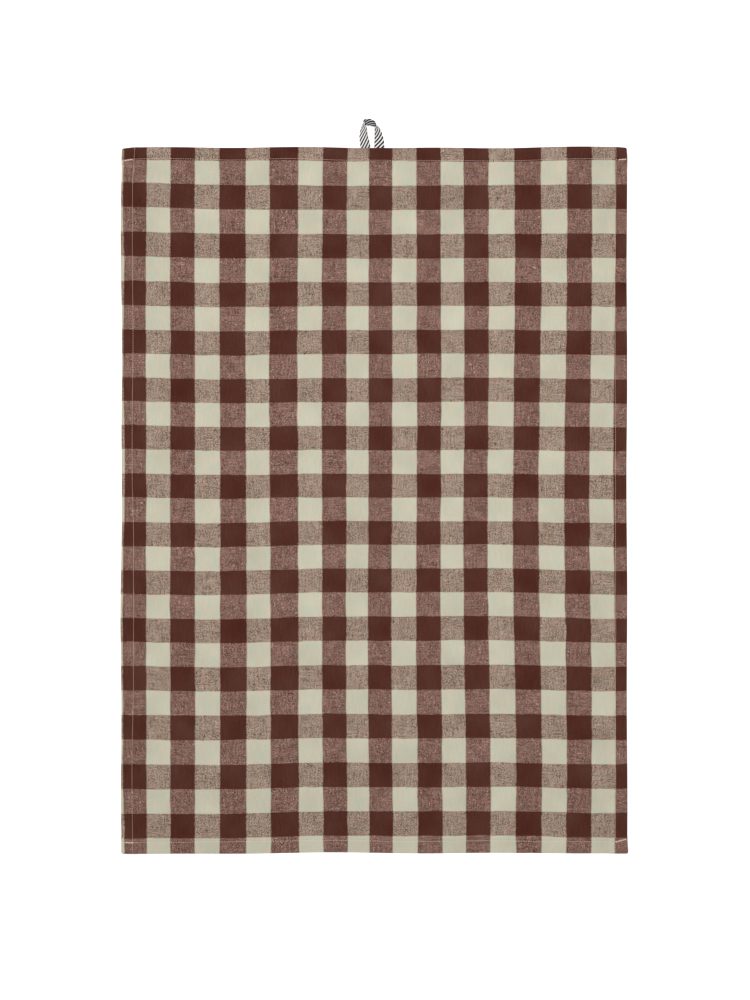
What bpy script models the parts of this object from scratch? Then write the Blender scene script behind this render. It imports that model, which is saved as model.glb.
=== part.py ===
"""Tea towel with a tape hanging loop, lying flat with its face up.

Metres, +Z up. +X runs across the towel and +Y along it, towards the loop. The origin is the
middle of the underside of the box round the towel and its loop.
"""

import math

import bmesh
import bpy
from mathutils import Vector

COLLECTION_NAME = "tea_towel"

# The towel, hemmed
TOWEL_WIDTH = 0.500
TOWEL_LENGTH = 0.699
CLOTH_THICKNESS = 0.0012
HEM_DEPTH = 0.0112  # folded edge to stitching
HEM_THICKNESS = 0.0019
CORNER_THICKNESS = 0.0028  # where a side hem lies inside an end hem
HEM_LIFT = 0.0003  # between the thicker corners the hems and the tape lie this far up
HEM_SLOPE_START = HEM_DEPTH - 0.0005  # the face comes down from here to the panel
HEM_SLOPE_END = HEM_DEPTH + 0.0060
STITCH_DIP = 0.00025
STITCH_DIP_WIDTH = 0.0012
CORNER_RADIUS = 0.0018
FOLD_BLUNTNESS = 0.25  # share of the thickness that is left at the outermost line of a fold

# The step on the back where the turned-under cloth ends
TURN_GROOVE_HEIGHT = 0.0005
TURN_GROOVE_START = HEM_DEPTH + 0.0015
TURN_GROOVE_END = HEM_DEPTH + 0.0035
STEP_WIDTH = 0.0004  # run of a step in the underside

# Low waves in the face of the cloth: height, wavelength across, wavelength along
FACE_WAVES = (
    (0.00012, 0.310, 0.420),
    (0.00010, 0.140, 0.230),
    (0.00008, 0.190, 0.085),
)

# The hanging loop, from the middle of the towel's top edge
TAPE_WIDTH = 0.0100
TAPE_THICKNESS = 0.0010
LOOP_RISE = 0.0286
TAPE_TUCK = 0.0132  # each end runs this far under the top hem, past the stitching
LEFT_LEG_X = -0.0083
RIGHT_LEG_X = 0.0053
CLEARANCE = 0.0003
SIDE_CLEARANCE = 0.0005
END_CLEARANCE = 0.0007
BULGE_SLOPE = 0.0030  # the face comes down over it beside the tape's ends

# The tape's middle line, measured from the middle of the towel's top edge. Tilt is 0 where its
# face is up, 90 where it stands on edge and more where it has turned over.
# across, rise, tilt in degrees
LOOP_ROUTE = (
    (LEFT_LEG_X, -TAPE_TUCK, 0),
    (LEFT_LEG_X, -0.0040, 0),
    (-0.0085, 0.0010, 6),
    (-0.0098, 0.0075, 27),
    (-0.0104, 0.0145, 48),
    (-0.0102, 0.0205, 74),
    (-0.0083, 0.0245, 104),
    (-0.0046, 0.0256, 124),
    (-0.0007, 0.0238, 112),
    (0.0021, 0.0200, 84),
    (0.0040, 0.0145, 52),
    (0.0051, 0.0075, 24),
    (0.0053, 0.0010, 4),
    (RIGHT_LEG_X, -0.0040, 0),
    (RIGHT_LEG_X, -TAPE_TUCK, 0),
)
STEPS_A_STRETCH = 4
TAPE_CELLS_ACROSS = 4

# How each edge wanders outwards: height, wavelength, where along the edge a crest lies
EDGE_WAVES = {
    "top": ((0.00045, 0.134, -0.207), (0.00040, 0.416, 0.214)),
    "bottom": ((0.00050, 0.515, -0.232), (0.00030, 0.149, 0.036)),
    "left": ((0.00040, 0.183, -0.109), (0.00035, 0.366, 0.248)),
    "right": ((0.00030, 0.213, -0.089), (0.00025, 0.684, -0.336)),
}
LOWEST_WANDER = 0.0005  # how far the bottom edge hangs below its middle line

# The cloth's grid
FOLD_STEPS = 3
PANEL_SPACING = 0.034
LEAST_SPACING = 0.010  # a panel line nearer than this to a line beside the tape is left out
SHARP_ANGLE = math.radians(40)

TOP_EDGE = (TOWEL_LENGTH + LOWEST_WANDER - LOOP_RISE) / 2
BOTTOM_EDGE = TOP_EDGE - TOWEL_LENGTH
TOWEL_MIDDLE = (TOP_EDGE + BOTTOM_EDGE) / 2

# The hollow under the top hem where each end of the tape lies
POCKET_HEIGHT = HEM_LIFT + TAPE_THICKNESS + CLEARANCE
POCKET_HALF_WIDTH = TAPE_WIDTH / 2 + SIDE_CLEARANCE
POCKET_DEPTH = TAPE_TUCK + END_CLEARANCE


def clear_scene():
    for obj in list(bpy.data.objects):
        bpy.data.objects.remove(obj, do_unlink=True)


def make_material(name, color, roughness):
    material = bpy.data.materials.new(name)
    material.use_nodes = True
    shader = material.node_tree.nodes["Principled BSDF"]
    shader.inputs["Base Color"].default_value = (*color, 1.0)
    shader.inputs["Roughness"].default_value = roughness
    shader.inputs["Metallic"].default_value = 0.0
    return material


def object_from(bm, name, material, collection):
    bmesh.ops.recalc_face_normals(bm, faces=bm.faces)
    mesh = bpy.data.meshes.new(name)
    bm.to_mesh(mesh)
    bm.free()
    mesh.materials.append(material)
    mesh.shade_smooth()
    mesh.set_sharp_from_angle(angle=SHARP_ANGLE)
    obj = bpy.data.objects.new(name, mesh)
    collection.objects.link(obj)
    return obj


def ease(value, start, end):
    """Goes smoothly from 0 at start to 1 at end, either of which may be the larger."""
    share = min(max((value - start) / (end - start), 0.0), 1.0)
    return share * share * (3 - 2 * share)


def edge_wave(edge, along):
    return sum(
        height * math.cos(math.tau * (along - crest) / wavelength)
        for height, wavelength, crest in EDGE_WAVES[edge]
    )


def hem_stations():
    """Distances from a folded edge: round the fold, over the hem, and down to the panel."""
    fold_radius = HEM_THICKNESS / 2
    fold = [
        fold_radius * (1 - math.cos(math.pi / 2 * step / FOLD_STEPS))
        for step in range(FOLD_STEPS + 1)
    ]
    return fold + [
        HEM_DEPTH / 2,
        HEM_DEPTH - 1.5 * STITCH_DIP_WIDTH,
        HEM_DEPTH,
        TURN_GROOVE_START,
        TURN_GROOVE_START + STEP_WIDTH,
        TURN_GROOVE_END,
        TURN_GROOVE_END + STEP_WIDTH,
        HEM_SLOPE_END,
    ]


def tape_stations():
    """Grid lines on each side of the tape's two ends."""
    offsets = (
        POCKET_HALF_WIDTH,
        POCKET_HALF_WIDTH + STEP_WIDTH,
        POCKET_HALF_WIDTH + BULGE_SLOPE / 2,
    )
    lines = []
    for leg in (LEFT_LEG_X, RIGHT_LEG_X):
        for offset in offsets:
            lines += [leg - offset, leg + offset]
    return lines


def grid_lines(low, high, extra):
    """Grid lines from low to high, close together at the hems and at the extra lines."""
    hem = hem_stations()
    inner_low = low + hem[-1]
    inner_high = high - hem[-1]
    count = round((inner_high - inner_low) / PANEL_SPACING)
    step = (inner_high - inner_low) / count
    panel = [inner_low + step * index for index in range(1, count)]
    panel = [
        value
        for value in panel
        if all(abs(value - line) > LEAST_SPACING for line in extra)
    ]
    lines = [low + value for value in hem] + panel + [high - value for value in hem]
    return sorted(lines + extra)


def hem_cover(distance):
    """1 over the hem, falling to 0 where the face has come down to a single cloth."""
    return 1 - ease(distance, HEM_SLOPE_START, HEM_SLOPE_END)


def stitch_dip(distance):
    return STITCH_DIP * math.exp(-(((distance - HEM_DEPTH) / STITCH_DIP_WIDTH) ** 2))


def tape_cover(x, depth, side_slope, end_slope):
    """1 over the tape's ends under the top hem, 0 away from them."""
    nearest = min(abs(x - LEFT_LEG_X), abs(x - RIGHT_LEG_X))
    beside = 1 - ease(nearest, POCKET_HALF_WIDTH, POCKET_HALF_WIDTH + side_slope)
    below = 1 - ease(depth, POCKET_DEPTH, POCKET_DEPTH + end_slope)
    return beside * below


def hem_lift(side, end):
    """Height of a hem off the surface, to which it comes down at the corners."""
    return HEM_LIFT * ease(max(side, end), HEM_DEPTH, HEM_SLOPE_END)


def face_wave(x, y):
    return sum(
        height * (1 + math.sin(math.tau * (x / across + y / along)))
        for height, across, along in FACE_WAVES
    )


def cloth_heights(x, y):
    """Lowest and highest point of the cloth at one grid point."""
    side = TOWEL_WIDTH / 2 - abs(x)
    end = TOWEL_LENGTH / 2 - abs(y - TOWEL_MIDDLE)
    nearest = min(side, end)
    depth = TOP_EDGE - y
    side_hem = hem_cover(side)
    end_hem = hem_cover(end)
    corner = side_hem * end_hem
    hem = side_hem + end_hem - corner
    thickness = (
        CLOTH_THICKNESS
        + (HEM_THICKNESS - CLOTH_THICKNESS) * hem
        + (CORNER_THICKNESS - HEM_THICKNESS) * corner
        - stitch_dip(side)
        - stitch_dip(end)
        + face_wave(x, y)
    )
    lift = hem_lift(side, end)
    bulge = POCKET_HEIGHT * tape_cover(x, depth, BULGE_SLOPE, BULGE_SLOPE)
    top = thickness + max(lift * hem, bulge)
    under = POCKET_HEIGHT * tape_cover(x, depth, STEP_WIDTH, STEP_WIDTH)
    if nearest < TURN_GROOVE_END:
        under = max(under, lift)

    radius = (top - under) / 2
    inward = max(nearest, 0.0) / radius
    if inward < 1:
        half = radius * max(math.sqrt(1 - (1 - inward) ** 2), FOLD_BLUNTNESS)
        middle = (top + under) / 2
        return middle - half, middle + half

    groove = ease(nearest, TURN_GROOVE_START, TURN_GROOVE_START + STEP_WIDTH) * (
        1 - ease(nearest, TURN_GROOVE_END, TURN_GROOVE_END + STEP_WIDTH)
    )
    return max(under, TURN_GROOVE_HEIGHT * groove), top


def cloth_plan(x, y):
    """Where a grid point lies in plan: corners rounded, then edges wandering a little."""
    across = CORNER_RADIUS - (TOWEL_WIDTH / 2 - abs(x))
    along = CORNER_RADIUS - (TOWEL_LENGTH / 2 - abs(y - TOWEL_MIDDLE))
    if across > 0 and along > 0:
        shrink = 1 - max(across, along) / math.hypot(across, along)
        x -= math.copysign(across * shrink, x)
        y -= math.copysign(along * shrink, y - TOWEL_MIDDLE)
    right_share = x / TOWEL_WIDTH + 0.5
    top_share = (y - BOTTOM_EDGE) / TOWEL_LENGTH
    from_middle = y - TOWEL_MIDDLE
    shift_x = right_share * edge_wave("right", from_middle)
    shift_x -= (1 - right_share) * edge_wave("left", from_middle)
    shift_y = top_share * edge_wave("top", x) - (1 - top_share) * edge_wave("bottom", x)
    return x + shift_x, y + shift_y


def make_cloth(collection):
    """One closed sheet: a grid laid on the underside, and its copy raised to the face."""
    pocket_end = TOP_EDGE - POCKET_DEPTH
    xs = grid_lines(-TOWEL_WIDTH / 2, TOWEL_WIDTH / 2, tape_stations())
    ys = grid_lines(BOTTOM_EDGE, TOP_EDGE, [pocket_end - STEP_WIDTH, pocket_end])
    columns = len(xs) - 1
    rows = len(ys) - 1
    bm = bmesh.new()
    bmesh.ops.create_grid(bm, x_segments=columns, y_segments=rows, size=1.0)
    under = list(bm.verts)
    for vert in under:
        column = round((vert.co.x + 1) / 2 * columns)
        row = round((vert.co.y + 1) / 2 * rows)
        vert.co = Vector((xs[column], ys[row], 0.0))
    raised = bmesh.ops.extrude_face_region(bm, geom=list(bm.faces), use_keep_orig=True)
    over = {item for item in raised["geom"] if isinstance(item, bmesh.types.BMVert)}
    for vert in bm.verts:
        low, high = cloth_heights(vert.co.x, vert.co.y)
        plan_x, plan_y = cloth_plan(vert.co.x, vert.co.y)
        vert.co = Vector((plan_x, plan_y, high if vert in over else low))
    material = make_material("gingham_cloth", (0.262, 0.181, 0.141), 0.92)
    return object_from(bm, "towel_cloth", material, collection)


def route_value(column, stretch, share):
    """One column of LOOP_ROUTE, read along a smooth curve through its rows."""
    last = len(LOOP_ROUTE) - 1
    before, start, end, after = (
        LOOP_ROUTE[min(max(stretch + offset, 0), last)][column]
        for offset in (-1, 0, 1, 2)
    )
    return 0.5 * (
        2 * start
        + (end - before) * share
        + (2 * before - 5 * start + 4 * end - after) * share**2
        + (3 * start - before - 3 * end + after) * share**3
    )


def route_point(step):
    """Middle of the tape at one step of the route: place in plan, and tilt in radians."""
    last_stretch = len(LOOP_ROUTE) - 2
    stretch = min(step // STEPS_A_STRETCH, last_stretch)
    share = step / STEPS_A_STRETCH - stretch
    across = route_value(0, stretch, share)
    rise = route_value(1, stretch, share)
    tilt = math.radians(route_value(2, stretch, share))
    return Vector((across, TOP_EDGE + rise, 0.0)), tilt


def tape_point(step, steps, across):
    """A point of the tape's middle surface; across runs from -1 outside the loop to 1 inside."""
    middle, tilt = route_point(step)
    ahead = route_point(min(step + 1, steps))[0] - route_point(max(step - 1, 0))[0]
    inwards = Vector((ahead.y, -ahead.x, 0.0)).normalized()
    width_way = inwards * math.cos(tilt) + Vector((0.0, 0.0, 1.0)) * math.sin(tilt)
    half_width = TAPE_WIDTH / 2
    rise = half_width * abs(math.sin(tilt)) + TAPE_THICKNESS / 2 * abs(math.cos(tilt))
    centre = middle + Vector((0.0, 0.0, HEM_LIFT + rise))
    return centre + width_way * half_width * across


def make_loop(collection):
    """The tape as a bent strip, given its thickness by a Solidify modifier."""
    steps = STEPS_A_STRETCH * (len(LOOP_ROUTE) - 1)
    bm = bmesh.new()
    bmesh.ops.create_grid(bm, x_segments=steps, y_segments=TAPE_CELLS_ACROSS, size=1.0)
    for vert in bm.verts:
        step = round((vert.co.x + 1) / 2 * steps)
        vert.co = tape_point(step, steps, vert.co.y)
    material = make_material("striped_tape", (0.42, 0.42, 0.41), 0.85)
    tape = object_from(bm, "hanging_loop", material, collection)
    solidify = tape.modifiers.new("tape_thickness", "SOLIDIFY")
    solidify.thickness = TAPE_THICKNESS
    solidify.offset = 0.0
    return tape


def main():
    clear_scene()
    collection = bpy.data.collections.new(COLLECTION_NAME)
    bpy.context.scene.collection.children.link(collection)
    make_cloth(collection)
    make_loop(collection)


main()
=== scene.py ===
"""The looks of the tea towel: its gingham, its hems and their stitching, and the striped tape loop.

Metres, +Z up, in the part's own frame. The towel lies face up on the floor with its loop
towards +Y, and the camera looks straight down on it.
"""

import math

import bpy
import numpy as np
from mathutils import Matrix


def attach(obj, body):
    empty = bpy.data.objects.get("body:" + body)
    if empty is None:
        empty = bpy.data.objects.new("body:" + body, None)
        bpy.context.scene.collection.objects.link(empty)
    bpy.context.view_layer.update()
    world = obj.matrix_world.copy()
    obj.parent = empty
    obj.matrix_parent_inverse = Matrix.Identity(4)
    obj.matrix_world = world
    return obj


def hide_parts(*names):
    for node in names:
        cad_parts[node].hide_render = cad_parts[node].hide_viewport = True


# The towel, hemmed
TOWEL_WIDTH = 0.500
TOWEL_LENGTH = 0.699
LOWEST_WANDER = 0.0005  # how far the bottom edge hangs below its middle line
CORNER_RADIUS = 0.0018

# One layer of the cloth, and its hems, which are turned twice
CLOTH_THICKNESS = 0.00028
LAYER_PITCH = 0.00036
CLOTH_REST = 0.00020  # the underside lies this far above the floor, clear of the stitches
HEM_TURN = 0.0140
HEM_TUCK = 0.0080
HEM_SLOPE = 0.0055  # run in which the face comes down from a hem to the panel

# The cloth's grid lines: even on the panel, and at shares of a hem's slope, face, back and tuck
PANEL_SPACING = 0.0050
SLOPE_STATIONS = (0.73, 0.45, 0.2)
FACE_STATIONS = (1.0, 0.95, 0.9, 0.85, 0.8, 0.75, 0.7, 0.64, 0.5, 0.34, 0.18, 0.06)
BACK_STATIONS = (0.2, 0.5, 0.64, 0.70, 0.76, 0.82, 0.88, 0.94)
TUCK_STATIONS = (0.08, 0.17, 0.26, 0.35, 0.44, 0.54, 0.72, 1.0)
EDGE_FOLD_LINES = 7
INNER_FOLD_LINES = 5

# The map for a sheet's baked colours: its face, a gap, the strip of its rim, a gap, its back
FACE_MAP_SHARE = 0.64
MAP_GAP = 0.004
RIM_MAP_WIDTH = MAP_GAP / 3

# The hanging loop, from the middle of the towel's top edge
TAPE_WIDTH = 0.0100
TAPE_THICKNESS = 0.0010  # of the solid that the tape lies in
TAPE_LAYER = 0.0007  # of the tape itself
TAPE_LIFT = 0.0003
LOOP_RISE = 0.0286
TAPE_TUCK = 0.0132
LEFT_LEG_X = -0.0083
RIGHT_LEG_X = 0.0053
BULGE_HEIGHT = 0.0011  # how far the tape's ends raise the hem over them
BULGE_HALF_WIDTH = 0.0055
BULGE_SLOPE = 0.0030

# The tape's middle line. Tilt is 0 where its face is up and 90 where it stands on edge.
# across, rise, tilt in degrees
LOOP_ROUTE = (
    (LEFT_LEG_X, -TAPE_TUCK, 0),
    (LEFT_LEG_X, -0.0040, 0),
    (-0.0085, 0.0010, 6),
    (-0.0098, 0.0075, 27),
    (-0.0105, 0.0145, 44),
    (-0.0101, 0.0190, 58),
    (-0.0103, 0.0231, 76),
    (-0.0101, 0.0243, 106),
    (-0.0062, 0.0247, 122),
    (-0.0031, 0.0241, 122),
    (0.0011, 0.0223, 108),
    (0.0027, 0.0204, 70),
    (0.0040, 0.0150, 50),
    (0.0051, 0.0075, 24),
    (0.0053, 0.0010, 4),
    (RIGHT_LEG_X, -0.0040, 0),
    (RIGHT_LEG_X, -TAPE_TUCK, 0),
)
STEPS_A_STRETCH = 8
TAPE_CELLS_ACROSS = 12
TAPE_SKEW = 0.19  # how far the tape's weave leans at one end, and the other way at the other

# How each edge wanders outwards: height, wavelength, where along the edge a crest lies
EDGE_WAVES = {
    "top": ((0.00045, 0.134, -0.207), (0.00040, 0.416, 0.214), (0.00040, 0.300, -0.045)),
    "bottom": ((0.00050, 0.515, -0.232), (0.00030, 0.149, 0.036), (0.00035, 0.240, -0.180)),
    "left": (
        (0.00040, 0.183, -0.109), (0.00035, 0.366, 0.248), (0.00030, 0.750, -0.260),
        (0.00030, 4.000, 0.000),
    ),
    "right": ((0.00030, 0.213, -0.089), (0.00025, 0.684, -0.336), (0.00065, 2.000, -0.050)),
}

# How each corner is pulled: side, end, shift across, shift along
CORNER_PULLS = (
    (-1, 1, 0.0004, -0.0010),
    (1, 1, -0.0006, -0.0006),
    (-1, -1, 0.0000, 0.0002),
    (1, -1, 0.0009, 0.0000),
)
PULL_REACH = 0.0080

# Low waves in the cloth as it lies: height, wavelength across, wavelength along
FACE_WAVES = (
    (0.00018, 0.310, 0.420),
    (0.00014, 0.140, 0.230),
    (0.00010, 0.190, 0.085),
    (0.00006, 0.067, -0.110),
)

# The checks: the widths of the woven columns from left to right, then the rows' one pitch
FIRST_COLUMN_LINE = -0.2479
COLUMN_WIDTHS_MM = (
    22.7, 23.6, 24.4, 24.5, 26.4, 23.3, 28.4, 23.8, 24.2, 21.5,
    23.1, 24.6, 24.0, 23.0, 24.3, 25.5, 25.8, 25.0, 24.8, 23.3,
)
CHECK_PITCH = 0.0243  # of the columns on the cloth that is turned under
# How far right of its even place the first column's line lies: place along, shift
FIRST_COLUMN_SHIFTS = (
    (-0.335, 0.0004), (-0.310, -0.0007), (-0.270, -0.0010), (-0.200, -0.0003),
    (-0.140, -0.0009), (-0.060, 0.0000), (-0.020, 0.0012), (0.015, 0.0017), (0.050, 0.0015),
    (0.112, 0.0003), (0.165, 0.0010), (0.215, 0.0018), (0.285, -0.0006), (0.330, 0.0001),
)
FIRST_ROW_DEPTH = 0.0126  # from the top edge
ROW_PITCH = 0.02393
# How far below its even place the first row's line lies: place across, drop
FIRST_ROW_DROPS = (
    (-0.25, 0.0023), (-0.19, 0.0011), (-0.14, 0.0004), (-0.09, -0.0008), (-0.04, 0.0004),
    (0.01, 0.0000), (0.05, 0.0006), (0.10, 0.0020), (0.15, 0.0015), (0.20, 0.0005), (0.25, 0.0007),
)
WARPS_A_CHECK = 37  # yarns that run along the towel
WEFTS_A_CHECK = 34  # yarns that run across it

# How the woven lines wander: height, cycles a metre across and along, shift in cycles
COLUMN_WANDER = (
    (0.00076, 0.0, 1.5, -0.40),
    (0.00069, -1.0, 2.0, 0.19),
    (0.00040, 5.0, 1.0, 0.24),
    (0.00029, -3.0, 2.5, -0.05),
)
ROW_WANDER = (
    (0.00139, 0.0, 1.5, -0.24),
    (0.00079, -2.5, 0.5, -0.19),
    (0.00052, 1.5, 1.0, -0.06),
    (0.00034, -4.5, 0.5, 0.23),
    (0.00029, 2.0, 4.0, -0.30),
    (0.00028, 6.0, 0.5, -0.39),
    (0.00024, -1.0, 4.0, 0.47),
)

# Each line of stitching: place along the edge from the towel's middle, depth from the edge
STITCH_LINES = {
    "top": (
        (-0.2477, 0.0133), (-0.2394, 0.0120), (-0.2350, 0.0113), (-0.1900, 0.0114),
        (-0.1400, 0.0121), (-0.0900, 0.0113), (-0.0390, 0.0124), (0.0060, 0.0121),
        (0.0540, 0.0128), (0.1520, 0.0126), (0.2020, 0.0120), (0.2350, 0.0120),
        (0.2410, 0.0128), (0.2500, 0.0121),
    ),
    "bottom": (
        (-0.2480, 0.0116), (-0.2380, 0.0113), (-0.1900, 0.0112), (-0.1400, 0.0119),
        (-0.0390, 0.0119), (0.0540, 0.0115), (0.1020, 0.0121), (0.1500, 0.0114),
        (0.2020, 0.0120), (0.2380, 0.0114), (0.2500, 0.0147),
    ),
    "left": (
        (-0.3490, 0.0112), (-0.2400, 0.0107), (-0.1750, 0.0122), (-0.1100, 0.0130),
        (-0.0320, 0.0117), (0.0150, 0.0103), (0.1100, 0.0107), (0.2530, 0.0115),
        (0.3180, 0.0112), (0.3430, 0.0128), (0.3490, 0.0130),
    ),
    "right": (
        (-0.3490, 0.0117), (-0.2000, 0.0112), (-0.1270, 0.0111), (-0.0800, 0.0116),
        (0.0150, 0.0109), (0.0600, 0.0110), (0.1100, 0.0118), (0.1600, 0.0115),
        (0.2050, 0.0120), (0.2530, 0.0111), (0.3490, 0.0111),
    ),
}
END_LINE_INSET = 0.0022  # how far from the sides the lines at the top and bottom stop
SIDE_LINE_INSET = 0.0006  # how far from the ends the lines at the sides stop
STITCH_LENGTH = 0.0024
STITCH_GAP = 0.0006
STITCH_SLANT = 0.02  # of a stitch's length, how far its ends stray sideways
THREAD_SEED = 11
THREAD_RADIUS = 0.00017
THREAD_LIFT = 0.35  # of its radius, how high its middle lies at the middle of a stitch
THREAD_SINK = 1.9  # of its radius, how much lower its middle lies at a stitch's ends
THREAD_TAPER = 0.45  # of its radius, how much thinner it is there
THREAD_RINGS = 5
THREAD_SIDES = 5
STITCH_DIP = 0.20  # share of a hem's height that the stitching presses out
STITCH_DIP_WIDTH = 0.0012
# Where a line is sewn over again: its edge, and the two ends of the stretch
BACK_TACKS = (
    ("top", -0.2477, -0.2394),
    ("top", 0.2498, 0.2418),
    ("bottom", -0.2467, -0.2383),
    ("bottom", 0.2494, 0.2384),
)
TACK_PASSES = 7
TACK_SPREAD = 0.00018
TACK_STRAY = 0.00005  # how far the passes stray sideways

# The photographed view: straight down
CAMERA_X = 0.0010
CAMERA_Y = -0.0137
CAMERA_HEIGHT = 2.753
CAMERA_LENS = 100.0
CAMERA_SENSOR = 36.0
CAMERA_REACH = 100.0

# The studio: a white floor, light all round, a broad lamp above and a softer one to the side
FLOOR_SIZE = 30.0
FLOOR_DROP = 0.0001  # below the part
FLOOR_WHITE = 0.90
FLOOR_GLOW = 0.6
WORLD_LIGHT = 0.435
KEY_PLACE = (0.0, 0.15, 1.0)
KEY_SIZE = 0.8
KEY_POWER = 5.2
SIDE_TURN = (math.radians(-28), math.radians(-24), 0.0)
SIDE_SPREAD = math.radians(25)
SIDE_STRENGTH = 0.75

TOP_EDGE = (TOWEL_LENGTH + LOWEST_WANDER - LOOP_RISE) / 2
BOTTOM_EDGE = TOP_EDGE - TOWEL_LENGTH
TOWEL_MIDDLE = (TOP_EDGE + BOTTOM_EDGE) / 2
CUT_WIDTH = TOWEL_WIDTH + 2 * (HEM_TURN + HEM_TUCK)
CUT_LENGTH = TOWEL_LENGTH + 2 * (HEM_TURN + HEM_TUCK)


# ---- The cloth's shape ----


def ease(value, start, end):
    """Goes smoothly from 0 at start to 1 at end."""
    share = np.clip((value - start) / (end - start), 0.0, 1.0)
    return share * share * (3 - 2 * share)


def edge_wave(edge, along):
    """How far an edge lies outwards of its straight place."""
    return sum(
        height * np.cos(math.tau * (along - crest) / wavelength)
        for height, wavelength, crest in EDGE_WAVES[edge]
    )


def wander(waves, x, y):
    """How far the woven lines lie from their even places."""
    return sum(
        height * np.cos(math.tau * (across * x + along * y - shift))
        for height, across, along, shift in waves
    )


def stitch_depth(edge, along):
    """Depth of a line of stitching from its edge."""
    places, depths = zip(*STITCH_LINES[edge])
    return np.interp(along, places, depths)


def hem_cover(distance):
    """1 over a hem, falling to 0 where the face has come down to the panel."""
    return 1 - ease(distance, HEM_TURN, HEM_TURN + HEM_SLOPE)


def folded_hem(stack, height):
    """The stations of a hem, from the panel round its two folds to the raw edge.

    stack is how high the cloth that is folded lies, and height is where this layer is in it.
    Returns the distance in from the folded edge, the height, and the length along the cloth
    beyond the edge.
    """
    stack, height = np.atleast_1d(stack), np.atleast_1d(height)
    fold_in = 1.5 * stack + LAYER_PITCH  # the radius of the fold's outermost layer
    fold_radius = height + stack / 2 + LAYER_PITCH
    turn_in = HEM_TURN - stack - LAYER_PITCH / 2
    turn_radius = height + LAYER_PITCH / 2

    slope = HEM_TURN + HEM_SLOPE * np.array(SLOPE_STATIONS)[:, None] + 0 * stack
    face = fold_in + np.array(FACE_STATIONS)[:, None] * (HEM_TURN - fold_in)
    front = np.concatenate([slope, face])
    front_height = height + 2 * (stack + LAYER_PITCH) * hem_cover(front)

    turn = np.linspace(0, math.pi, EDGE_FOLD_LINES)[:, None]
    fold = fold_in - fold_radius * np.sin(turn)
    fold_height = fold_in + fold_radius * np.cos(turn)
    fold_length = fold_radius * turn - fold_in

    back = fold_in + np.array(BACK_STATIONS)[:, None] * (turn_in - fold_in)
    back_height = np.broadcast_to(stack - height, back.shape)
    back_length = fold_length[-1] + back - fold_in

    turn = np.linspace(0, math.pi, INNER_FOLD_LINES)[:, None]
    inner = turn_in + turn_radius * np.sin(turn)
    inner_height = stack + LAYER_PITCH / 2 - turn_radius * np.cos(turn)
    inner_length = fold_length[-1] + turn_in - fold_in + turn_radius * turn

    shares = np.array(TUCK_STATIONS)[:, None]
    tuck = turn_in - shares * HEM_TUCK
    tuck_height = np.broadcast_to(stack + LAYER_PITCH + height, tuck.shape)
    tuck_length = inner_length[-1] + shares * HEM_TUCK

    distance = np.concatenate([front, fold, back, inner, tuck])
    level = np.concatenate([front_height, fold_height, back_height, inner_height, tuck_height])
    length = np.concatenate([-front, fold_length, back_length, inner_length, tuck_length])
    return distance, level, length


def panel_lines(low, high):
    """Even grid lines across the panel between two hems."""
    edge = HEM_TURN + HEM_SLOPE
    count = round((high - low - 2 * edge) / PANEL_SPACING)
    return np.linspace(low + edge, high - edge, count + 1)


def pressed(x, y):
    """What the stitching leaves of the hems' height."""
    along = y - TOWEL_MIDDLE
    lines = (
        TOWEL_WIDTH / 2 + x - stitch_depth("left", along),
        TOWEL_WIDTH / 2 - x - stitch_depth("right", along),
        TOP_EDGE - y - stitch_depth("top", x),
        y - BOTTOM_EDGE - stitch_depth("bottom", x),
    )
    left = 1.0
    for distance in lines:
        left = left * (1 - STITCH_DIP * np.exp(-((distance / STITCH_DIP_WIDTH) ** 2)))
    return left


def off_tape(x):
    """How far across a place lies from the middle of the nearer of the tape's ends."""
    return np.minimum(abs(x - LEFT_LEG_X), abs(x - RIGHT_LEG_X))


def resting_height(x, y):
    """How far the cloth's lowest layer lies above the floor: low waves, and over the tape."""
    waves = sum(
        height * (1 + np.sin(math.tau * (x / across + y / along)))
        for height, across, along in FACE_WAVES
    )
    beside = 1 - ease(off_tape(x), BULGE_HALF_WIDTH, BULGE_HALF_WIDTH + BULGE_SLOPE)
    below = 1 - ease(TOP_EDGE - y, TAPE_TUCK, TAPE_TUCK + BULGE_SLOPE)
    return CLOTH_REST + waves + BULGE_HEIGHT * beside * below


def face_height(x, y):
    """Height of the towel's face, with its hems."""
    side = TOWEL_WIDTH / 2 - abs(x)
    end = TOWEL_LENGTH / 2 - abs(y - TOWEL_MIDDLE)
    stack = 2 * LAYER_PITCH * hem_cover(side)
    layers = stack + 2 * (stack + LAYER_PITCH) * hem_cover(end)
    return layers * pressed(x, y) + resting_height(x, y) + CLOTH_THICKNESS


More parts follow.
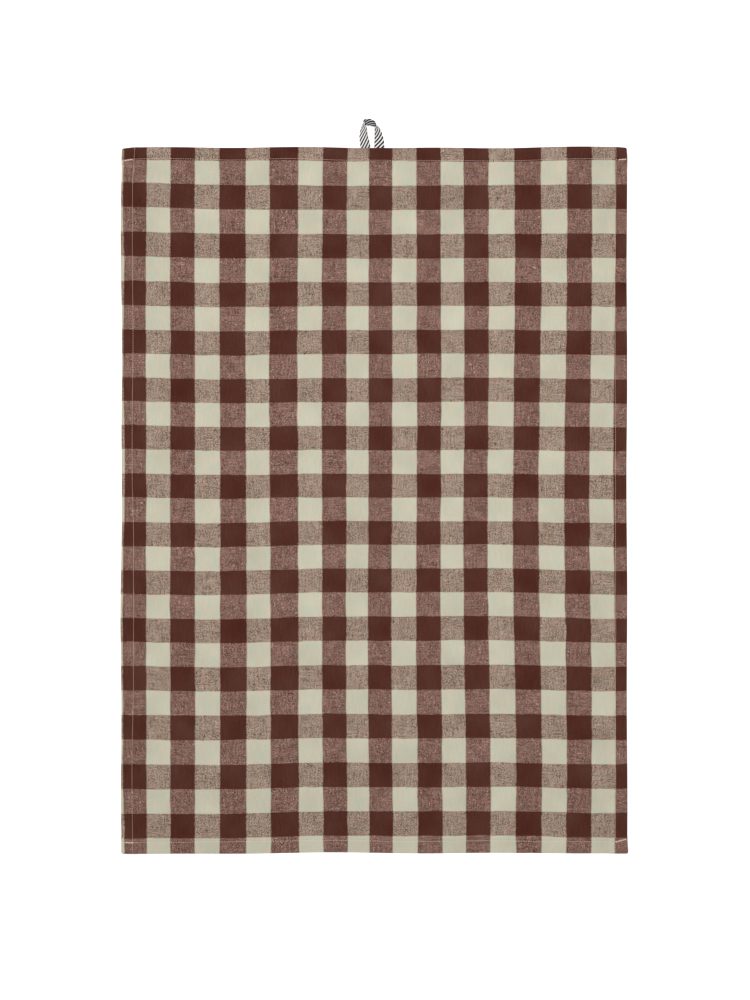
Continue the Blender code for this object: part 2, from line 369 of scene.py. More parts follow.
def cloth_plan(x, y):
    """Where a point lies in plan: corners rounded and pulled, edges wandering a little."""
    across = CORNER_RADIUS - (TOWEL_WIDTH / 2 - abs(x))
    along = CORNER_RADIUS - (TOWEL_LENGTH / 2 - abs(y - TOWEL_MIDDLE))
    in_corner = (across > 0) & (along > 0)
    reach = np.where(in_corner, np.hypot(across, along), 1.0)
    shrink = np.where(in_corner, 1 - np.maximum(across, along) / reach, 0.0)
    x = x - np.sign(x) * across * shrink
    y = y - np.sign(y - TOWEL_MIDDLE) * along * shrink
    for side, end, shift_x, shift_y in CORNER_PULLS:
        away_x = TOWEL_WIDTH / 2 - side * x
        away_y = TOWEL_LENGTH / 2 - end * (y - TOWEL_MIDDLE)
        share = np.exp(-(away_x**2 + away_y**2) / PULL_REACH**2)
        x = x + shift_x * share
        y = y + shift_y * share
    right_share = x / TOWEL_WIDTH + 0.5
    top_share = (y - BOTTOM_EDGE) / TOWEL_LENGTH
    from_middle = y - TOWEL_MIDDLE
    shift_x = right_share * edge_wave("right", from_middle)
    shift_x -= (1 - right_share) * edge_wave("left", from_middle)
    shift_y = top_share * edge_wave("top", x) - (1 - top_share) * edge_wave("bottom", x)
    return x + shift_x, y + shift_y


def check_column(x, y):
    """Which check a place across the cloth is in, counted from the first woven line."""
    lines = FIRST_COLUMN_LINE + np.concatenate([[0.0], np.cumsum(COLUMN_WIDTHS_MM)]) / 1000
    inside = np.interp(x, lines, np.arange(len(lines)))
    before = np.minimum(x - lines[0], 0.0) / CHECK_PITCH
    beyond = np.maximum(x - lines[-1], 0.0) / CHECK_PITCH
    column = inside + before + beyond
    shift = np.interp(y, *zip(*FIRST_COLUMN_SHIFTS)) / (COLUMN_WIDTHS_MM[0] / 1000)
    return np.where(column < 1, 1 - (1 - column) / (1 - shift), column)


def check_row(x, y):
    """Which check a place along the cloth is in, counted down from the first woven line."""
    row = (TOP_EDGE - FIRST_ROW_DEPTH - y) / ROW_PITCH
    drop = np.interp(x, *zip(*FIRST_ROW_DROPS)) / ROW_PITCH
    return np.where(row < 1, 1 - (1 - row) / (1 - drop), row)


def cloth_grid():
    """The cloth's middle surface, and its map of checks: one grid from raw edge to raw edge."""
    side_in, side_level, side_length = (part[:, 0] for part in folded_hem(0.0, 0.0))
    panel = panel_lines(-TOWEL_WIDTH / 2, TOWEL_WIDTH / 2)
    flat_x = np.concatenate(
        [side_in[::-1] - TOWEL_WIDTH / 2, panel, TOWEL_WIDTH / 2 - side_in]
    )
    cut_x = np.concatenate(
        [-TOWEL_WIDTH / 2 - side_length[::-1], panel, TOWEL_WIDTH / 2 + side_length]
    )
    level_x = np.concatenate([side_level[::-1], 0 * panel, side_level])
    stack = 2 * LAYER_PITCH * hem_cover(TOWEL_WIDTH / 2 - abs(flat_x))

    end_in, end_level, end_length = folded_hem(stack, level_x)
    rows = panel_lines(BOTTOM_EDGE, TOP_EDGE)[:, None] + 0 * flat_x
    y = np.concatenate([BOTTOM_EDGE + end_in[::-1], rows, TOP_EDGE - end_in])
    cut_y = np.concatenate([BOTTOM_EDGE - end_length[::-1], rows, TOP_EDGE + end_length])
    level = np.concatenate([end_level[::-1], level_x + 0 * rows, end_level])
    x = flat_x + 0 * y

    z = level * pressed(x, y) + resting_height(x, y) + CLOTH_THICKNESS / 2
    plan_x, plan_y = cloth_plan(x, y)
    along_x = cut_x + plan_x - x - wander(COLUMN_WANDER, plan_x, plan_y)
    along_y = cut_y + plan_y - y - wander(ROW_WANDER, plan_x, plan_y)
    checks = np.stack([check_column(along_x, plan_y), check_row(plan_x, along_y)], axis=-1)
    cut = np.stack(
        [cut_x / CUT_WIDTH + 0.5 + 0 * y, (cut_y - TOWEL_MIDDLE) / CUT_LENGTH + 0.5], axis=-1
    )
    return np.stack([plan_x, plan_y, z], axis=-1), checks, cut


# ---- Meshes ----


def mesh_object(name, points, faces, material, maps=()):
    """A mesh object from an array of points and a list of faces, with its UV maps by name."""
    mesh = bpy.data.meshes.new(name)
    mesh.from_pydata(points.tolist(), [], faces)
    for map_name, corners in dict(maps).items():
        layer = mesh.uv_layers.new(name=map_name)
        layer.data.foreach_set("uv", corners.astype(np.float32).ravel())
    mesh.materials.append(material)
    mesh.shade_smooth()
    obj = bpy.data.objects.new(name, mesh)
    bpy.context.scene.collection.objects.link(obj)
    return obj


def bake_map(place, faces, rim_count):
    """A map where a sheet's face, rim and back lie side by side. The rim is last in faces."""
    back_start = FACE_MAP_SHARE + 2 * MAP_GAP
    face_map = place * (FACE_MAP_SHARE, 1.0)
    back_map = place * (1 - back_start, 1.0) + (back_start, 0.0)
    corners = np.concatenate([face_map, back_map])[faces]
    steps = np.linspace(0, 1, rim_count + 1)
    strip = np.full((rim_count, 4, 2), FACE_MAP_SHARE + MAP_GAP)
    strip[:, 1:3, 0] += RIM_MAP_WIDTH
    strip[:, :2, 1] = steps[:-1, None]
    strip[:, 2:, 1] = steps[1:, None]
    corners[-rim_count:] = strip
    return corners


def sheet_object(name, grid, thickness, pattern_name, pattern, bake, material):
    """A closed sheet of this thickness about a grid of points, its face first, then its back.

    pattern is the grid's place in its material's pattern, the same on face and back. bake is its
    place in the unit square, where face and back get a part each.
    """
    rows, columns = grid.shape[:2]
    normal = np.cross(np.gradient(grid, axis=1), np.gradient(grid, axis=0))
    normal /= np.linalg.norm(normal, axis=-1, keepdims=True)
    face = (grid + normal * thickness / 2).reshape(-1, 3)
    back = (grid - normal * thickness / 2).reshape(-1, 3)
    index = np.arange(rows * columns).reshape(rows, columns)
    quads = np.stack(
        [index[:-1, :-1], index[:-1, 1:], index[1:, 1:], index[1:, :-1]], axis=-1
    ).reshape(-1, 4)
    rim = np.concatenate([index[0, :-1], index[:-1, -1], index[-1, :0:-1], index[:0:-1, 0]])
    ahead = np.roll(rim, -1)
    under = rows * columns
    rim_quads = np.stack([rim, rim + under, ahead + under, ahead], axis=-1)
    faces = np.concatenate([quads, quads[:, ::-1] + under, rim_quads])

    maps = {
        pattern_name: np.tile(pattern.reshape(-1, 2), (2, 1))[faces],
        "OFBake": bake_map(bake.reshape(-1, 2), faces, len(rim)),
    }
    points = np.concatenate([face, back])
    sheet = mesh_object(name, points, faces.tolist(), material, maps)
    marks = sheet.data.attributes.new("back", "FLOAT", "POINT")
    marks.data.foreach_set("value", np.repeat([0.0, 1.0], rows * columns).astype(np.float32))
    return sheet


def make_towel():
    """The towel: one sheet of cloth, folded twice at each edge."""
    grid, checks, cut = cloth_grid()
    return sheet_object("towel", grid, CLOTH_THICKNESS, "checks", checks, cut, gingham_material())


# ---- The loop ----


def route_value(column, stretch, share):
    """One column of LOOP_ROUTE, read along a smooth curve through its rows."""
    last = len(LOOP_ROUTE) - 1
    before, start, end, after = (
        LOOP_ROUTE[min(max(stretch + offset, 0), last)][column]
        for offset in (-1, 0, 1, 2)
    )
    return 0.5 * (
        2 * start
        + (end - before) * share
        + (2 * before - 5 * start + 4 * end - after) * share**2
        + (3 * start - before - 3 * end + after) * share**3
    )


def route_point(step):
    """Middle of the tape at one step of the route: across, along, and tilt in radians."""
    stretch = min(step // STEPS_A_STRETCH, len(LOOP_ROUTE) - 2)
    share = step / STEPS_A_STRETCH - stretch
    across = route_value(0, stretch, share)
    rise = route_value(1, stretch, share)
    return across, TOP_EDGE + rise, math.radians(route_value(2, stretch, share))


def tape_grid():
    """The tape's middle surface; its columns run from the outside of the loop to the inside."""
    steps = STEPS_A_STRETCH * (len(LOOP_ROUTE) - 1)
    route = np.array([route_point(step) for step in range(steps + 1)])
    middle = np.stack([route[:, 0], route[:, 1], 0 * route[:, 0]], axis=-1)
    tilt = route[:, 2]
    ahead = np.gradient(middle, axis=0)
    ahead /= np.linalg.norm(ahead, axis=-1, keepdims=True)
    inwards = np.stack([ahead[:, 1], -ahead[:, 0], 0 * tilt], axis=-1)
    up = np.array([0.0, 0.0, 1.0])
    width_way = inwards * np.cos(tilt)[:, None] + up * np.sin(tilt)[:, None]
    half_width = TAPE_WIDTH / 2
    rise = half_width * abs(np.sin(tilt)) + TAPE_THICKNESS / 2 * abs(np.cos(tilt))
    centre = middle + up * (TAPE_LIFT + rise)[:, None]
    across = np.linspace(-half_width, half_width, TAPE_CELLS_ACROSS + 1)
    grid = centre[:, None] + width_way[:, None] * across[:, None]

    length = np.linalg.norm(np.diff(centre, axis=0), axis=-1)
    length = np.concatenate([[0.0], np.cumsum(length)])
    skew = TAPE_SKEW * (1 - 2 * length / length[-1])
    along = length[:, None] - skew[:, None] * across
    pattern = np.stack([across + 0 * along, along], axis=-1)
    length_share = (length / length[-1])[:, None]
    width_share = across / TAPE_WIDTH + 0.5
    bake = np.stack([width_share + 0 * length_share, length_share + 0 * across], axis=-1)
    return grid, pattern, bake


def make_tape():
    """The loop: one length of tape."""
    grid, pattern, bake = tape_grid()
    return sheet_object("loop_tape", grid, TAPE_LAYER, "weave", pattern, bake, tape_material())


# ---- Stitching ----


def thread_mesh(starts, ends, normals):
    """Points and faces of one short length of thread for each start and end.

    Each comes up out of the cloth, lies on it and goes down again.
    """
    share = np.linspace(0, 1, THREAD_RINGS)
    from_middle = 2 * share - 1
    height = THREAD_RADIUS * (THREAD_LIFT - THREAD_SINK * from_middle**4)
    radius = THREAD_RADIUS * (1 - THREAD_TAPER * from_middle**6)
    way = ends - starts
    ahead = way / np.linalg.norm(way, axis=-1, keepdims=True)
    side = np.cross(normals, ahead)
    side /= np.linalg.norm(side, axis=-1, keepdims=True)
    up = np.cross(ahead, side)
    middle = starts[:, None] + way[:, None] * share[:, None] + up[:, None] * height[:, None]
    angle = math.tau * np.arange(THREAD_SIDES) / THREAD_SIDES
    ring = side[:, None] * np.cos(angle)[:, None] + up[:, None] * np.sin(angle)[:, None]
    points = middle[:, :, None] + ring[:, None] * radius[:, None, None]

    count = len(starts)
    index = np.arange(count * THREAD_RINGS * THREAD_SIDES)
    index = index.reshape(count, THREAD_RINGS, THREAD_SIDES)
    onward = np.roll(index, -1, axis=2)
    walls = np.stack([index[:, :-1], onward[:, :-1], onward[:, 1:], index[:, 1:]], axis=-1)
    return points.reshape(-1, 3), walls.reshape(-1, 4), index[:, 0, ::-1], index[:, -1]


def place_by_edge(edge, along, depth):
    """Places in plan on the flat towel, from places along an edge and depths in from it."""
    if edge == "top":
        return along, TOP_EDGE - depth
    if edge == "bottom":
        return along, BOTTOM_EDGE + depth
    if edge == "left":
        return depth - TOWEL_WIDTH / 2, TOWEL_MIDDLE + along
    return TOWEL_WIDTH / 2 - depth, TOWEL_MIDDLE + along


def stitch_line(edge):
    """Points in plan along a line of stitching, on the flat towel, a stitch apart."""
    if edge in ("top", "bottom"):
        half = TOWEL_WIDTH / 2 - END_LINE_INSET
    else:
        half = TOWEL_LENGTH / 2 - SIDE_LINE_INSET
    count = round(2 * half / STITCH_LENGTH)
    along = np.linspace(-half, half, count + 1)
    return place_by_edge(edge, along, stitch_depth(edge, along))


def on_towel(x, y, back):
    """Places in space on the towel's face or back for places in plan on the flat towel."""
    if back:
        on_tape = (off_tape(x) < TAPE_WIDTH / 2) & (TOP_EDGE - y < TAPE_TUCK)
        tape_back = TAPE_LIFT + (TAPE_THICKNESS - TAPE_LAYER) / 2
        z = np.where(on_tape, tape_back, resting_height(x, y))
    else:
        z = face_height(x, y)
    plan_x, plan_y = cloth_plan(x, y)
    return np.stack([plan_x, plan_y, z], axis=-1)


def stitches(x, y, back, rng):
    """Starts and ends of the stitches along a line, on the face or on the back."""
    points = on_towel(x, y, back)
    starts, ends = points[:-1], points[1:]
    way = ends - starts
    gap = STITCH_GAP / 2 / np.linalg.norm(way, axis=-1, keepdims=True)
    sideways = np.stack([-way[:, 1], way[:, 0], 0 * way[:, 0]], axis=-1)
    slant = rng.normal(0.0, STITCH_SLANT, (len(way), 2, 1))
    starts = starts + way * gap + sideways * slant[:, 0]
    ends = ends - way * gap + sideways * slant[:, 1]
    return starts, ends


def back_tack(edge, start, end, rng):
    """Several passes over a stretch of a line, where it starts or stops."""
    runs = []
    count = round(abs(end - start) / STITCH_LENGTH)
    for run in range(TACK_PASSES):
        shift = (end - start) * run / count / TACK_PASSES
        along = np.linspace(start, end, count + 1) + shift / 2
        depth = stitch_depth(edge, along) + TACK_SPREAD * (run - (TACK_PASSES - 1) / 2)
        depth = depth + rng.normal(0.0, TACK_STRAY, depth.shape)
        runs.append(place_by_edge(edge, along, depth))
    return runs


def make_stitches():
    """All the sewing thread that shows, on the face and on the back."""
    rng = np.random.default_rng(THREAD_SEED)
    lines = [stitch_line(edge) for edge in ("top", "bottom", "left", "right")]
    for edge, start, end in BACK_TACKS:
        lines += back_tack(edge, start, end, rng)
    points, walls, caps = [], [], []
    total = 0
    for back in (False, True):
        for x, y in lines:
            starts, ends = stitches(x, y, back, rng)
            up = np.tile([0.0, 0.0, -1.0 if back else 1.0], (len(starts), 1))
            part, wall, first, last = thread_mesh(starts, ends, up)
            points.append(part)
            walls.append(wall + total)
            caps += [first + total, last + total]
            total += len(part)
    faces = np.concatenate(walls).tolist() + np.concatenate(caps).tolist()
    return mesh_object("hem_stitches", np.concatenate(points), faces, thread_material())


# ---- Materials ----


class Shading:
    """A material whose nodes are added and linked one at a time."""

    def __init__(self, name, roughness, specular):
        self.material = bpy.data.materials.new(name)
        self.material.use_nodes = True
        self.tree = self.material.node_tree
        self.shader = self.tree.nodes["Principled BSDF"]
        self.shader.inputs["Roughness"].default_value = roughness
        self.shader.inputs["Specular IOR Level"].default_value = specular

    def put(self, socket, value):
        """Sets a socket to a value, or links it where the value is another socket."""
        if isinstance(value, bpy.types.NodeSocket):
            self.tree.links.new(value, socket)
        else:
            socket.default_value = value

    def node(self, kind, inputs=(), **settings):
        """Adds a node with these inputs and settings."""
        node = self.tree.nodes.new(kind)
        for name, value in settings.items():
            setattr(node, name, value)
        for name, value in dict(inputs).items():
            self.put(node.inputs[name], value)
        return node

    def math(self, operation, *values):
        """The result of an operation on one or two values."""
        node = self.tree.nodes.new("ShaderNodeMath")
        node.operation = operation
        for socket, value in zip(node.inputs, values):
            self.put(socket, value)
        return node.outputs[0]

    def total(self, first, *others):
        """The sum of all the values."""
        for other in others:
            first = self.math("ADD", first, other)
        return first

    def scaled(self, value, factor):
        """A value times a factor."""
        return self.math("MULTIPLY", value, factor)

    def place(self, x, y):
        """A place in a plane pattern."""
        return self.node("ShaderNodeCombineXYZ", {"X": x, "Y": y}).outputs[0]

    def noise(self, x, y, scale, detail=0.0):
        """Smooth noise about 0 at a place, with scale lumps a unit."""
        node = self.node(
            "ShaderNodeTexNoise",
            {"Vector": self.place(x, y), "Scale": scale, "Detail": detail},
            noise_dimensions="2D",
        )
        return self.math("SUBTRACT", node.outputs[0], 0.5)

    def grain(self, x, y):
        """A different value from -0.5 to 0.5 for each whole place."""
        node = self.node(
            "ShaderNodeTexWhiteNoise", {"Vector": self.place(x, y)}, noise_dimensions="2D"
        )
        return self.math("SUBTRACT", node.outputs["Value"], 0.5)

    def ramp(self, value, stops):
        """A colour for a value, from stops of place and linear colour."""
        node = self.node("ShaderNodeValToRGB", {"Fac": value})
        elements = node.color_ramp.elements
        while len(elements) < len(stops):
            elements.new(0.5)
        for element, (place, color) in zip(elements, stops):
            element.position = place
            element.color = (*color, 1.0)
        return node.outputs["Color"]

    def alternate(self, value):
        """0 from 0 to 1, 1 from 1 to 2, and so on."""
        return self.math("FLOOR", self.scaled(self.math("FRACT", self.scaled(value, 0.5)), 2.0))

    def grey(self, value):
        """The same value for red, green and blue."""
        return self.node(
            "ShaderNodeCombineXYZ", {"X": value, "Y": value, "Z": value}
        ).outputs[0]

    def shaded(self, color, level, share, amount):
        """A colour made lighter by level times a share of itself and a grey amount."""
        node = self.node("ShaderNodeVectorMath", operation="MULTIPLY_ADD")
        self.put(node.inputs[0], color)
        self.put(node.inputs[1], self.grey(self.total(self.scaled(level, share), 1.0)))
        self.put(node.inputs[2], self.grey(self.scaled(level, amount)))
        return node.outputs[0]

    def tinted(self, color, level, tint):
        """A colour changed by level times a tint of itself."""
        shift = self.node("ShaderNodeVectorMath", operation="MULTIPLY_ADD")
        shift.inputs[0].default_value = tint
        self.put(shift.inputs[1], self.grey(level))
        shift.inputs[2].default_value = (1.0, 1.0, 1.0)
        node = self.node("ShaderNodeVectorMath", operation="MULTIPLY")
        self.put(node.inputs[0], color)
        self.put(node.inputs[1], shift.outputs[0])
        return node.outputs[0]

    def bump(self, height, distance, strength):
        """Makes the surface look raised by a height."""
        node = self.node("ShaderNodeBump", {"Height": height})
        node.inputs["Distance"].default_value = distance
        node.inputs["Strength"].default_value = strength
        self.put(self.shader.inputs["Normal"], node.outputs[0])


# Cloth colour by the share of cream yarn that shows: share, linear colour
# The mixed shares are darker and redder than an even mix of brown and cream: painted shade and
# bounce light between the yarns
CLOTH_COLORS = (
    (0.00, (0.0803, 0.0231, 0.0140)),
    (0.36, (0.200, 0.103, 0.0763)),
    (0.64, (0.302, 0.218, 0.163)),
    (1.00, (0.572, 0.546, 0.420)),
)
DARKEST_YARN = (0.030, 0.011, 0.008)
TINT = (0.20, -0.055, -0.13)  # what a full tint adds, as shares of a colour
YARN_SHADE = 0.40  # painted shade: how much darker the cloth is between its yarns than on them
MEAN_ARCH = 0.405  # of the height of the yarns' round backs
WARP_SHARE = 0.64  # of the cloth, where the yarns that run along the towel show

# How uneven the weave is, in lumps a check or a yarn
DRIFT = 0.06  # of a check, how far the yarns bend out of line
DRIFT_LUMPS = 0.9  # a check
DRIFT_APART = 37.0  # checks from the noise that bends the warp to the one that bends the weft
YARN_APART = 3.7  # lumps from one yarn to the next, so that each has runs of its own
RUN_LUMPS = 0.05  # a crossing, along a yarn
BLOTCH_LUMPS = 2.2  # a check
TINT_LUMPS = 2.8  # a check
PATCH_LUMPS = 0.7  # a check
STREAK_LUMPS = (0.4, 0.06)  # a yarn, across and along the towel
FLECK_LUMPS = 2.6  # a check, with one fleck in each
FLECK_RADIUS = 0.10  # of a lump, at most
GRAIN_EDGE = 1.2  # how much each crossing differs from those beside it
NUB_SHARE = 0.012  # of the crossings' pairs, across and again along

# Levels of light and dark, each of which adds a share of the colour and an amount of grey
LEVEL_SHARE = 0.10
LEVEL_GREY = 0.012
CROSSING_DEPTH = 8.0  # how much each crossing keeps of its upper yarn's own colour
# Where a brown and a cream yarn cross
NUB_LEVEL = 7.0
GRAIN_LEVEL = 5.2
WARP_RUN_LEVEL = 5.5
WEFT_RUN_LEVEL = 4.8
BLOTCH_LEVEL = 2.2
FLECK_LEVEL = 7.0
# Everywhere
PATCH_LEVEL = 1.9
STREAK_LEVEL = 0.6
PLAIN_GRAIN_LEVEL = 0.5

RELIEF_DEPTH = 0.00012
SLUB_RELIEF = 0.6  # how high the slubs stand, of a yarn's round back
SHEEN = 0.06
SHEEN_ROUGHNESS = 0.6


def drifted_checks(cloth):
    """The place in the map of checks, with yarns that bend a little out of line."""
    checks = cloth.node("ShaderNodeUVMap", uv_map="checks")
    place = cloth.node("ShaderNodeSeparateXYZ", {"Vector": checks.outputs["UV"]})
    u, v = place.outputs["X"], place.outputs["Y"]
    drift_u = cloth.noise(u, v, DRIFT_LUMPS, detail=1.0)
    drift_v = cloth.noise(cloth.total(u, DRIFT_APART), v, DRIFT_LUMPS, detail=1.0)
    u = cloth.total(u, cloth.scaled(drift_u, DRIFT))
    v = cloth.total(v, cloth.scaled(drift_v, DRIFT))
    return u, v


def crossing_grain(cloth, warp, weft):
    """A value for each crossing, unlike those of the four crossings beside it."""
    own = cloth.grain(warp, weft)
    beside = cloth.total(
        cloth.grain(cloth.total(warp, 1.0), weft),
        cloth.grain(cloth.total(warp, -1.0), weft),
        cloth.grain(warp, cloth.total(weft, 1.0)),
        cloth.grain(warp, cloth.total(weft, -1.0)),
    )
    return cloth.total(cloth.scaled(own, 1 + GRAIN_EDGE), cloth.scaled(beside, -GRAIN_EDGE / 4))


def fleck_light(cloth, u, v):
    """A value above 0 on each fleck, and 0 between the flecks."""
    flecks = cloth.node(
        "ShaderNodeTexVoronoi", {"Vector": cloth.place(u, v), "Scale": FLECK_LUMPS},
        voronoi_dimensions="2D",
    )
    fleck = cloth.node("ShaderNodeSeparateColor", {"Color": flecks.outputs["Color"]})
    radius = cloth.scaled(fleck.outputs[0], FLECK_RADIUS)
    near = cloth.math("LESS_THAN", flecks.outputs["Distance"], radius)
    return cloth.math("MULTIPLY", near, fleck.outputs[1])


def nub_light(cloth, warp, weft):
    """1 on a nub, which is two yarns long or wide, and 0 elsewhere, less the mean."""
    half_warp = cloth.math("FLOOR", cloth.scaled(warp, 0.5))
    half_weft = cloth.math("FLOOR", cloth.scaled(weft, 0.5))
    across = cloth.grain(half_warp, cloth.total(weft, 0.5))
    along = cloth.grain(cloth.total(warp, 0.5), half_weft)
    return cloth.total(
        cloth.math("GREATER_THAN", across, 0.5 - NUB_SHARE),
        cloth.math("GREATER_THAN", along, 0.5 - NUB_SHARE),
        -2 * NUB_SHARE,
    )


def gingham_material():
    """Plain weave of brown and cream yarns, with uneven yarns, slubs, nubs and flecks."""
    cloth = Shading("gingham_cloth_woven", roughness=0.92, specular=0.15)
    u, v = drifted_checks(cloth)
    yarn_u, yarn_v = cloth.scaled(u, WARPS_A_CHECK), cloth.scaled(v, WEFTS_A_CHECK)
    warp, weft = cloth.math("FLOOR", yarn_u), cloth.math("FLOOR", yarn_v)

    # The two yarns at a place; the checks' edges step in and out from crossing to crossing
    odd = cloth.math("FRACT", cloth.scaled(cloth.total(warp, weft), 0.5))
    warp_edge = cloth.scaled(odd, 2 / WARPS_A_CHECK)
    weft_edge = cloth.scaled(odd, 1 / WEFTS_A_CHECK)
    warp_cream = cloth.alternate(cloth.total(u, warp_edge))
    weft_cream = cloth.math("SUBTRACT", 1.0, cloth.alternate(cloth.total(v, weft_edge)))
    lean = cloth.math("SUBTRACT", weft_cream, warp_cream)
    mixed = cloth.math("ABSOLUTE", lean)
    cream = cloth.total(
        cloth.scaled(warp_cream, WARP_SHARE), cloth.scaled(weft_cream, 1 - WARP_SHARE)
    )

    # The weft is on top at every other crossing, where it shows for most of a pitch
    from_middle = cloth.math("ABSOLUTE", cloth.math("SUBTRACT", cloth.math("FRACT", yarn_v), 0.5))
    shows = cloth.math("LESS_THAN", from_middle, 1 - WARP_SHARE)
    weft_top = cloth.math("MULTIPLY", cloth.scaled(odd, 2.0), shows)
    crossing = cloth.math("MULTIPLY", cloth.total(weft_top, WARP_SHARE - 1), lean)

    # How uneven the yarns are: strongest where a brown and a cream yarn cross. There, nubs and
    # flecks are light on brown warp and dark on cream warp.
    grain = crossing_grain(cloth, warp, weft)
    warp_run = cloth.noise(cloth.scaled(warp, YARN_APART), cloth.scaled(yarn_v, RUN_LUMPS), 1.0)
    weft_run = cloth.noise(cloth.scaled(yarn_u, RUN_LUMPS), cloth.scaled(weft, YARN_APART), 1.0)
    blotch = cloth.noise(u, v, BLOTCH_LUMPS, detail=2.0)
    nubs = cloth.math("MULTIPLY", nub_light(cloth, warp, weft), lean)
    flecks = cloth.math("MULTIPLY", fleck_light(cloth, u, v), lean)
    speckle = cloth.total(
        cloth.scaled(nubs, NUB_LEVEL),
        cloth.scaled(grain, GRAIN_LEVEL),
        cloth.scaled(warp_run, WARP_RUN_LEVEL),
        cloth.scaled(weft_run, WEFT_RUN_LEVEL),
        cloth.scaled(blotch, BLOTCH_LEVEL),
        cloth.scaled(flecks, FLECK_LEVEL),
    )
    across, along = STREAK_LUMPS
    streaks = cloth.noise(cloth.scaled(yarn_u, across), cloth.scaled(yarn_v, along), 1.0)
    quiet = cloth.total(
        cloth.scaled(cloth.noise(u, v, PATCH_LUMPS, detail=1.0), PATCH_LEVEL),
        cloth.scaled(streaks, STREAK_LEVEL),
        cloth.scaled(grain, PLAIN_GRAIN_LEVEL),
    )
    level = cloth.total(
        cloth.math("MULTIPLY", mixed, speckle), quiet, cloth.scaled(crossing, CROSSING_DEPTH)
    )
    color = cloth.shaded(cloth.ramp(cream, CLOTH_COLORS), level, LEVEL_SHARE, LEVEL_GREY)
    darkest = cloth.node("ShaderNodeVectorMath", operation="MAXIMUM")
    cloth.put(darkest.inputs[0], color)
    darkest.inputs[1].default_value = DARKEST_YARN
    color = cloth.tinted(darkest.outputs[0], cloth.noise(u, v, TINT_LUMPS, detail=2.0), TINT)

    # The yarns' round backs: painted shade, darker between the yarns, and a bump with slubs that
    # stand up
    arch_u = cloth.math("SINE", cloth.scaled(cloth.math("FRACT", yarn_u), math.pi))
    arch_v = cloth.math("SINE", cloth.scaled(cloth.math("FRACT", yarn_v), math.pi))
    arch = cloth.math("MULTIPLY", arch_u, arch_v)
    color = cloth.shaded(color, cloth.total(arch, -MEAN_ARCH), YARN_SHADE, 0.0)
    cloth.put(cloth.shader.inputs["Base Color"], color)
    relief = cloth.total(arch, cloth.scaled(warp_run, SLUB_RELIEF))
    cloth.bump(relief, distance=RELIEF_DEPTH, strength=0.6)
    cloth.shader.inputs["Sheen Weight"].default_value = SHEEN
    cloth.shader.inputs["Sheen Roughness"].default_value = SHEEN_ROUGHNESS
    return cloth.material


STRIPE_PITCH = 0.00286  # square to the stripes
STRIPE_START = 0.0031  # along the tape
STRIPE_ANGLE = math.radians(43)  # to the tape's length
BLACK_SHARE = 0.53  # of the face
BLACK_MORE = 0.14  # of the back
TAPE_BLACK = (0.008, 0.006, 0.007)
TAPE_WHITE = (0.900, 0.885, 0.875)
STRIPE_STRAY = 0.08  # of a pitch, how ragged the stripes' edges are
STRAY_LUMPS = 2200.0  # a metre
STRIPE_SHARPNESS = 14.0  # a stripe's edge fades over one part in so many of a pitch
TAPE_UNEVEN = 0.12  # how much lighter and darker the tape is here and there
TAPE_LUMPS = 3000.0  # a metre
TAPE_RIB = 0.00036
TAPE_RIB_DEPTH = 0.00006


def tape_material():
    """Twill tape: black diagonal stripes on white."""
    tape = Shading("striped_tape_woven", roughness=0.9, specular=0.05)
    weave = tape.node("ShaderNodeUVMap", uv_map="weave")
    place = tape.node("ShaderNodeSeparateXYZ", {"Vector": weave.outputs["UV"]})
    across, along = place.outputs["X"], place.outputs["Y"]
    ragged = tape.noise(across, along, STRAY_LUMPS, detail=1.0)
    phase = tape.total(
        tape.scaled(tape.total(along, -STRIPE_START), math.sin(STRIPE_ANGLE) / STRIPE_PITCH),
        tape.scaled(across, -math.cos(STRIPE_ANGLE) / STRIPE_PITCH),
        tape.scaled(ragged, STRIPE_STRAY),
    )
    back = tape.node("ShaderNodeAttribute", attribute_name="back").outputs["Fac"]
    from_middle = tape.math("ABSOLUTE", tape.math("SUBTRACT", tape.math("FRACT", phase), 0.5))
    edge = tape.total(from_middle, tape.scaled(back, -BLACK_MORE / 2), -BLACK_SHARE / 2)
    white = tape.math("MAXIMUM", tape.total(tape.scaled(edge, STRIPE_SHARPNESS), 0.5), 0.0)
    color = tape.ramp(white, ((0.0, TAPE_BLACK), (1.0, TAPE_WHITE)))
    uneven = tape.noise(across, along, TAPE_LUMPS, detail=1.0)
    tape.put(tape.shader.inputs["Base Color"], tape.shaded(color, uneven, TAPE_UNEVEN, 0.0))
    rib = tape.math("SINE", tape.scaled(along, math.tau / TAPE_RIB))
    yarn = tape.math("SINE", tape.scaled(across, math.tau / TAPE_RIB))
    tape.bump(tape.math("MULTIPLY", rib, yarn), distance=TAPE_RIB_DEPTH, strength=0.5)
    return tape.material


TWISTS_A_METRE = 1400.0
TWIST_DEPTH = 0.00003
# The thread's pale pink, darker in its twist's grooves than on its crowns: painted shade
THREAD_COLORS = (
    (0.0, (0.88, 0.65, 0.57)),
    (1.0, (0.96, 0.76, 0.69)),
)


def thread_material():
    """Pale pink sewing thread."""
    thread = Shading("sewing_thread_pale_pink", roughness=0.6, specular=0.3)
    place = thread.node("ShaderNodeTexCoord").outputs["Object"]
    twist = thread.node(
        "ShaderNodeTexWave", {"Vector": place, "Scale": TWISTS_A_METRE}, bands_direction="DIAGONAL"
    )
    color = thread.ramp(twist.outputs["Fac"], THREAD_COLORS)
    thread.put(thread.shader.inputs["Base Color"], color)
    thread.bump(twist.outputs["Fac"], distance=TWIST_DEPTH, strength=0.4)
    return thread.material


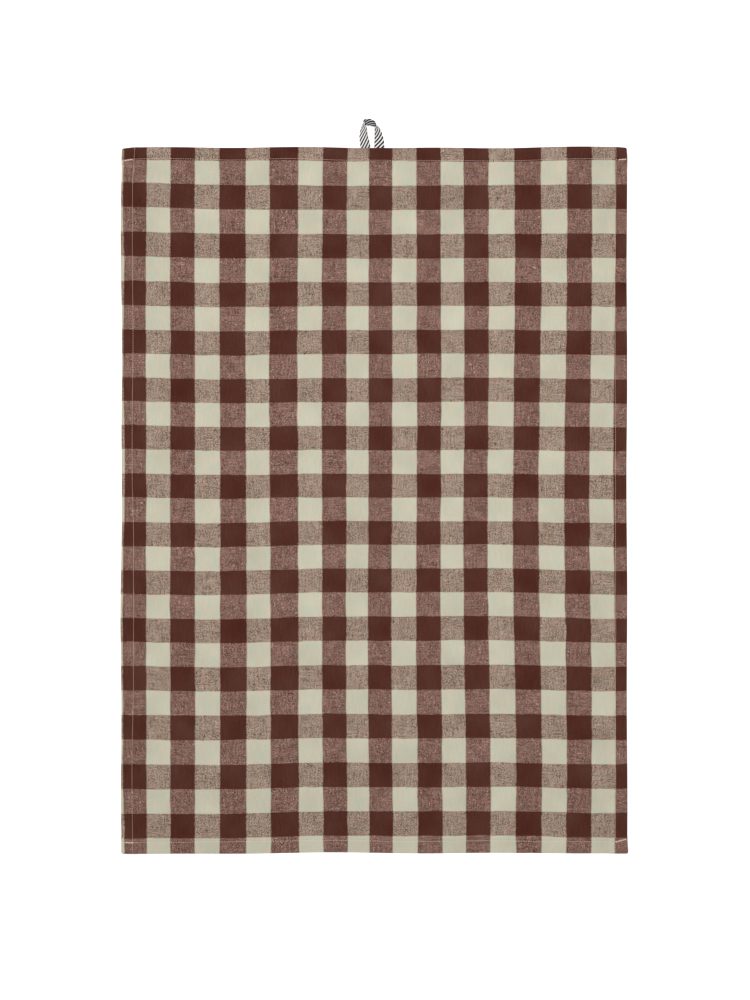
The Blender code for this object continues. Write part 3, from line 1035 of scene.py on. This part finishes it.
def floor_material():
    """Matt white, glowing a little."""
    floor = Shading("studio_floor", roughness=0.9, specular=0.0)
    white = (FLOOR_WHITE, FLOOR_WHITE, FLOOR_WHITE, 1.0)
    floor.shader.inputs["Base Color"].default_value = white
    floor.shader.inputs["Emission Color"].default_value = (1.0, 1.0, 1.0, 1.0)
    floor.shader.inputs["Emission Strength"].default_value = FLOOR_GLOW
    return floor.material


# ---- Floor, light and camera ----


def make_floor():
    """The surface that the towel lies on."""
    bpy.ops.mesh.primitive_plane_add(size=FLOOR_SIZE, location=(0.0, 0.0, -FLOOR_DROP))
    floor = bpy.context.object
    floor.name = "floor"
    floor.data.materials.append(floor_material())
    return floor


def make_world():
    """Even white light all round, and white behind everything."""
    world = bpy.data.worlds.new("studio")
    world.use_nodes = True
    tree = world.node_tree
    background = tree.nodes["Background"]
    background.inputs["Color"].default_value = (1.0, 1.0, 1.0, 1.0)
    background.inputs["Strength"].default_value = WORLD_LIGHT
    seen = tree.nodes.new("ShaderNodeBackground")
    seen.inputs["Color"].default_value = (1.0, 1.0, 1.0, 1.0)
    rays = tree.nodes.new("ShaderNodeLightPath")
    mix = tree.nodes.new("ShaderNodeMixShader")
    tree.links.new(rays.outputs["Is Camera Ray"], mix.inputs["Fac"])
    tree.links.new(background.outputs[0], mix.inputs[1])
    tree.links.new(seen.outputs[0], mix.inputs[2])
    tree.links.new(mix.outputs[0], tree.nodes["World Output"].inputs["Surface"])
    bpy.context.scene.world = world


def make_lights():
    """A broad soft lamp high over the towel, and a softer light from the upper left."""
    key = bpy.data.lights.new("key", "AREA")
    key.shape = "SQUARE"
    key.size = KEY_SIZE
    key.energy = KEY_POWER
    key_object = bpy.data.objects.new("key", key)
    key_object.location = KEY_PLACE
    key_object.visible_camera = False
    bpy.context.scene.collection.objects.link(key_object)
    side = bpy.data.lights.new("side", "SUN")
    side.energy = SIDE_STRENGTH
    side.angle = SIDE_SPREAD
    side_object = bpy.data.objects.new("side", side)
    side_object.rotation_euler = SIDE_TURN
    bpy.context.scene.collection.objects.link(side_object)


def make_camera():
    """A camera straight above the towel."""
    camera = bpy.data.cameras.new("camera")
    camera.lens = CAMERA_LENS
    camera.sensor_width = CAMERA_SENSOR
    camera.clip_end = CAMERA_REACH
    camera_object = bpy.data.objects.new("camera", camera)
    camera_object.location = (CAMERA_X, CAMERA_Y, CAMERA_HEIGHT)
    bpy.context.scene.collection.objects.link(camera_object)
    bpy.context.scene.camera = camera_object


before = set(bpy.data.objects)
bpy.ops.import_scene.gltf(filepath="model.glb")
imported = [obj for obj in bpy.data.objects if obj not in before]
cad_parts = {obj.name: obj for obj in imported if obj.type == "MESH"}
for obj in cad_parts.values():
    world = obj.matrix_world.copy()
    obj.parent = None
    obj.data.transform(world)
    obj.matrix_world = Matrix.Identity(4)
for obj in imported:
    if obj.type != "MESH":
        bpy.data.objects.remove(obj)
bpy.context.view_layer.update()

towel = make_towel()
tape = make_tape()
sewing = make_stitches()
floor = make_floor()
make_world()
make_lights()
make_camera()
bpy.context.scene.view_settings.view_transform = "Standard"

for piece in (towel, tape, sewing):
    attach(piece, "root")
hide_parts("towel_cloth")
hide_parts("hanging_loop")
